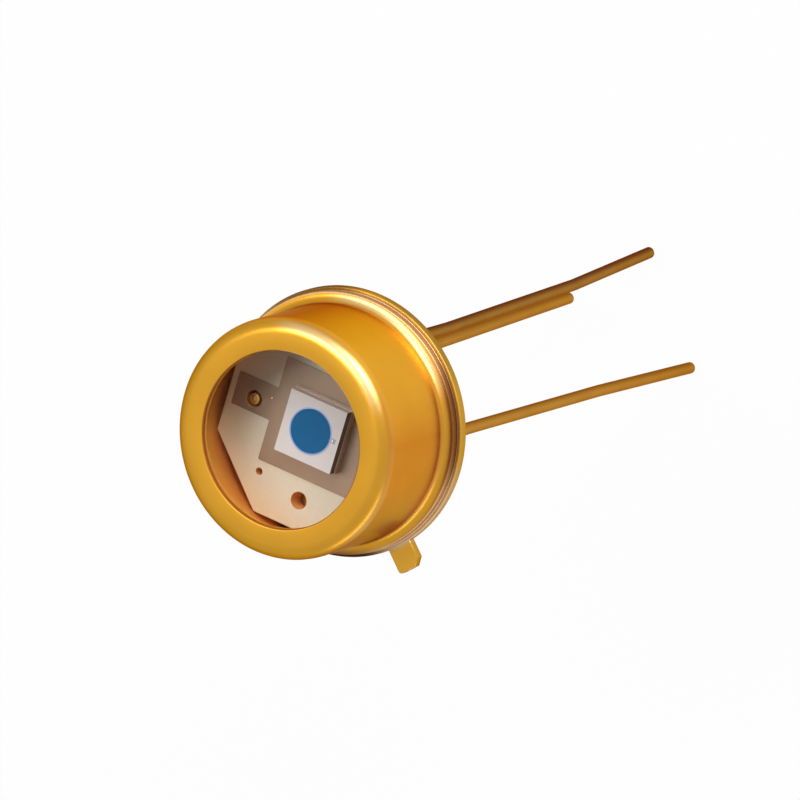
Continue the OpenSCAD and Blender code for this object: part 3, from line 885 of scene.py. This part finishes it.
# Gold: satin and warm on the can, deeper on the header, pinkish and dull on the weld, brown and lined on wire
can_gold = gold_plate("Gold-plated drawn cap", "#D49B31", CAP_PAINTED_SHADING, "#D0A878", CAP_PATCHES)
header_gold = gold_plate("Gold-plated stamped header", "#DBA23A", HEADER_PAINTED_SHADING, "#CFA044", HEADER_PATCHES)
weld_metal = gold_plate("Resistance-welded seam", "#D0AE80", HEADER_PAINTED_SHADING, "#CDAC80", WELD_PATCHES)
lead_gold = drawn_wire_gold("Gold-plated drawn wire", "#CC9A52", "#BA8842", "#AA7A3C")
# The case lead's darker tones are painted shade
shaded_lead_gold = drawn_wire_gold("Gold-plated wire in painted shade", "#B8884A", "#9E723C", "#785234")
LEAD_FINISHES = {"anode": lead_gold, "case": shaded_lead_gold, "cathode": lead_gold}

# Glass: a window that hardly shows, a dark matt line that holds it, and dark glossy beads round the leads
window_glass = clear_glass("Coated window glass")
solder_glass = fired("Fused solder glass", "#4E4843", "#3A3430", 0.2, (0.2, 0.35), ior=1.7)
bead_glass = fired("Fused bead glass", "#2C3A40", "#1B2427", 0.25, (0.08, 0.2), ior=1.55)

# Ceramics: matt white, with walls that the laser left tan, or that the saw left white; the walls that face
# lead 1 are painted darker as shade
white_ceramic = fired("Laser-cut alumina", "#E7E2D0", "#DBD5C2", 0.12, (0.5, 0.7), ior=1.76,
                      walls=("#F0B068", "#E0A05A"))
submount_ceramic = fired("Sawn white ceramic", "#D9CDBE", "#CBBEAE", 0.08, (0.5, 0.7), ior=1.76,
                         walls=("#FFFCF6", "#A89884"))

# Chip: smooth and nearly white under its passivation, its walls painted light, and dark as shade where they
# face lead 1, with a deep blue film and a thin bluish metal ring
silicon = fired("Passivated silicon die", "#F4ECEA", "#EAE2E0", 0.3, (0.25, 0.35),
                walls=("#F4EEE8", "#5A4C3A"))
blue_film = fired("Blue anti-reflection film", "#2071AB", "#1D699F", 0.3, (0.15, 0.25), ior=1.2)
contact_metal = fired("Evaporated contact metal", "#A6B6DC", "#94A6D0", 0.05, (0.3, 0.45), metallic=0.4)

# Joins: yellowish rippled braze, tan glue, a matt grey-brown pad, dull grey solder and pale bright bond wire
braze_metal = fired("Melted braze metal", "#C9AC66", "#B08C45", 0.3, (0.3, 0.45), metallic=1.0)
adhesive = fired("Cured epoxy film", "#A58A62", "#8C7350", 0.2, (0.35, 0.5))
pad_metal = fired("Fired thick-film metal", "#AC937C", "#987F6A", 0.1, (0.45, 0.6), metallic=0.3)
solder = fired("Dull solder film", "#6B6660", "#57524D", 0.08, (0.35, 0.5), metallic=1.0)
bond_gold = fired("Drawn bond gold", "#E2CC98", "#D2B87C", 0.05, (0.2, 0.3), metallic=1.0)

# Pieces
piece("drawn_cap", cap_shell(), "cap", can_gold)
piece("stamped_header", header_base(), "header", header_gold)
piece("weld_seam", weld_seam(), "weld_ring", weld_metal)
piece("window_pane", window_pane(), "window", window_glass)
piece("window_solder_glass", window_solder_glass(), "window_seal", solder_glass)
for name, route in LEADS.items():
    wire = lead_wire(top=LEAD_TOPS[name], **route)
    piece(f"lead_wire_{name}", wire, f"lead_{name}", LEAD_FINISHES[name])
for name in ("anode", "cathode"):
    bead = glass_bead(LEADS[name]["at"])
    piece(f"glass_bead_{name}", bead, f"glass_seal_{name}", bead_glass)
piece("braze_fillet", braze_fillet(), "case_lead_braze", braze_metal)
piece("ceramic_plate", ceramic_plate(), "ceramic_substrate", white_ceramic, CERAMIC_EDGE)
piece("adhesive_film", adhesive_film(), "substrate_adhesive", adhesive)
piece("printed_pad", printed_pad(), "die_pad", pad_metal, PAD_EDGE)
piece("submount_solder_film", block("submount_solder", FILM_CORNER), "submount_solder", solder)
submount = block("chip_submount", SAWN_CORNER)
piece("submount_block", submount, "chip_submount", submount_ceramic, SAWN_EDGE)
piece("die_attach_film", block("die_attach", FILM_CORNER), "die_attach", solder)
piece("chip_die", chip_die(), "photodiode_chip", silicon)
piece("active_film", active_film(), "blue_coating", blue_film)
piece("contact_metal_ring", contact_metal_ring(), "anode_contact", contact_metal)
chip_end = (high("anode_contact").x - BOND_PLACE / 2, 0, high("anode_contact").z)
anode_wire = bond_wire(chip_end, (PIN_R, 0, CERAMIC_TOP), ANODE_LOOP)
piece("anode_wire", anode_wire, "anode_bond_wire", bond_gold)
pad_end = (*CATHODE_BALL_AT, high("die_pad").z)
cathode_wire = bond_wire(pad_end, (-PIN_R, 0, CERAMIC_TOP), CATHODE_LOOP)
piece("cathode_wire", cathode_wire, "cathode_bond_wire", bond_gold)


def lamp(name, towards, along, length, width, brightness):
    """A softbox that faces the can, its length lying along a direction; brightness 1 mirrors as white."""
    light = bpy.data.lights.new(name, "AREA")
    light.shape = "RECTANGLE"
    light.size = length * MM
    light.size_y = width * MM
    light.energy = brightness * math.pi * light.size * light.size_y
    made = bpy.data.objects.new(name, light)
    direction = Vector(towards).normalized()
    across = direction.cross(Vector(along)).normalized()
    made.location = direction * LAMP_DISTANCE * MM
    made.rotation_euler = Matrix((across.cross(direction), across, direction)).transposed().to_euler()
    bpy.context.scene.collection.objects.link(made)


def seen_by(tree, kinds):
    """1 for rays of these kinds, 0 for the others."""
    path = add(tree, "ShaderNodeLightPath")
    seen = path.outputs[kinds[0]]
    for kind in kinds[1:]:
        seen = add(tree, "ShaderNodeMath", {0: seen, 1: path.outputs[kind]}, operation="MAXIMUM").outputs[0]
    return seen


def floor():
    """A pale floor under the lead tips: white to the eye, with the part's faint shadow.

    In metal it shows as a bright pool under the part that fades outwards.
    """
    bm = bmesh.new()
    bmesh.ops.create_grid(bm, x_segments=1, y_segments=1, size=FLOOR_SIZE / 2 * MM)
    lowest = min(low(f"lead_{name}").z for name in LEADS)
    bmesh.ops.translate(bm, verts=bm.verts, vec=(0, 0, (lowest - FLOOR_GAP) * MM))
    made = as_object(bm, "studio_floor")
    material, tree, output, place = new_material("Matt white floor")
    plain = add(tree, "ShaderNodeBsdfDiffuse", {"Color": srgb("#F4F4F4")})
    white = add(tree, "ShaderNodeEmission", {"Strength": 1.0})
    away = add(tree, "ShaderNodeVectorMath", {0: place.outputs["Object"]}, operation="LENGTH")
    pool = add(tree, "ShaderNodeMapRange", {
        "Value": away.outputs["Value"], "From Min": POOL_FROM * MM, "From Max": POOL_TO * MM,
        "To Min": FLOOR_GLOW, "To Max": FLOOR_IN_METAL})
    mirrored = add(tree, "ShaderNodeMath", {
        0: seen_by(tree, ["Is Glossy Ray"]), 1: pool.outputs["Result"]}, operation="MULTIPLY")
    share = add(tree, "ShaderNodeMapRange", {
        "Value": seen_by(tree, ["Is Camera Ray", "Is Transmission Ray"]), "To Min": mirrored.outputs[0],
        "To Max": FLOOR_GLOW})
    mix = add(tree, "ShaderNodeMixShader", {
        0: share.outputs["Result"], 1: plain.outputs[0], 2: white.outputs[0]})
    under = add(tree, "ShaderNodeNewGeometry")
    clear = add(tree, "ShaderNodeBsdfTransparent")
    shown = add(tree, "ShaderNodeMixShader", {
        0: under.outputs["Backfacing"], 1: mix.outputs[0], 2: clear.outputs[0]})
    tree.links.new(shown.outputs[0], output.inputs["Surface"])
    made.data.materials.append(material)


def studio_world():
    """White to the eye and through glass, a softer white in metal, and grey as light."""
    world = bpy.data.worlds.new("Studio")
    bpy.context.scene.world = world
    world.use_nodes = True
    tree = world.node_tree
    tree.nodes.clear()
    seen = seen_by(tree, ["Is Camera Ray", "Is Transmission Ray"])
    mirrored = seen_by(tree, ["Is Glossy Ray"])
    in_metal = add(tree, "ShaderNodeMapRange", {
        "Value": mirrored, "To Min": WORLD_AS_LIGHT, "To Max": WORLD_IN_METAL})
    strength = add(tree, "ShaderNodeMapRange", {
        "Value": seen, "To Min": in_metal.outputs["Result"], "To Max": 1.0})
    white = add(tree, "ShaderNodeBackground", {
        "Color": srgb("#FFFFFF"), "Strength": strength.outputs["Result"]})
    output = add(tree, "ShaderNodeOutputWorld")
    tree.links.new(white.outputs[0], output.inputs["Surface"])


def camera():
    """The photograph's camera: far off, long lens, turned on its side."""
    azimuth, elevation = math.radians(CAMERA_AZIMUTH), math.radians(CAMERA_ELEVATION)
    back = Vector((math.sin(azimuth) * math.cos(elevation), -math.cos(azimuth) * math.cos(elevation),
                   math.sin(elevation)))
    lens = bpy.data.cameras.new("Camera")
    lens.lens = CAMERA_LENS
    lens.clip_start = 0.01
    lens.clip_end = 10
    made = bpy.data.objects.new("Camera", lens)
    made.location = (CAMERA_AIM + back * CAMERA_DISTANCE) * MM
    level = back.to_track_quat("Z", "Y").to_matrix()
    made.rotation_euler = (level @ Matrix.Rotation(math.radians(-CAMERA_ROLL), 3, "Z")).to_euler()
    bpy.context.scene.collection.objects.link(made)
    bpy.context.scene.camera = made


for row in LAMPS:
    lamp(*row)
floor()
studio_world()
camera()
bpy.context.scene.view_settings.view_transform = "Standard"
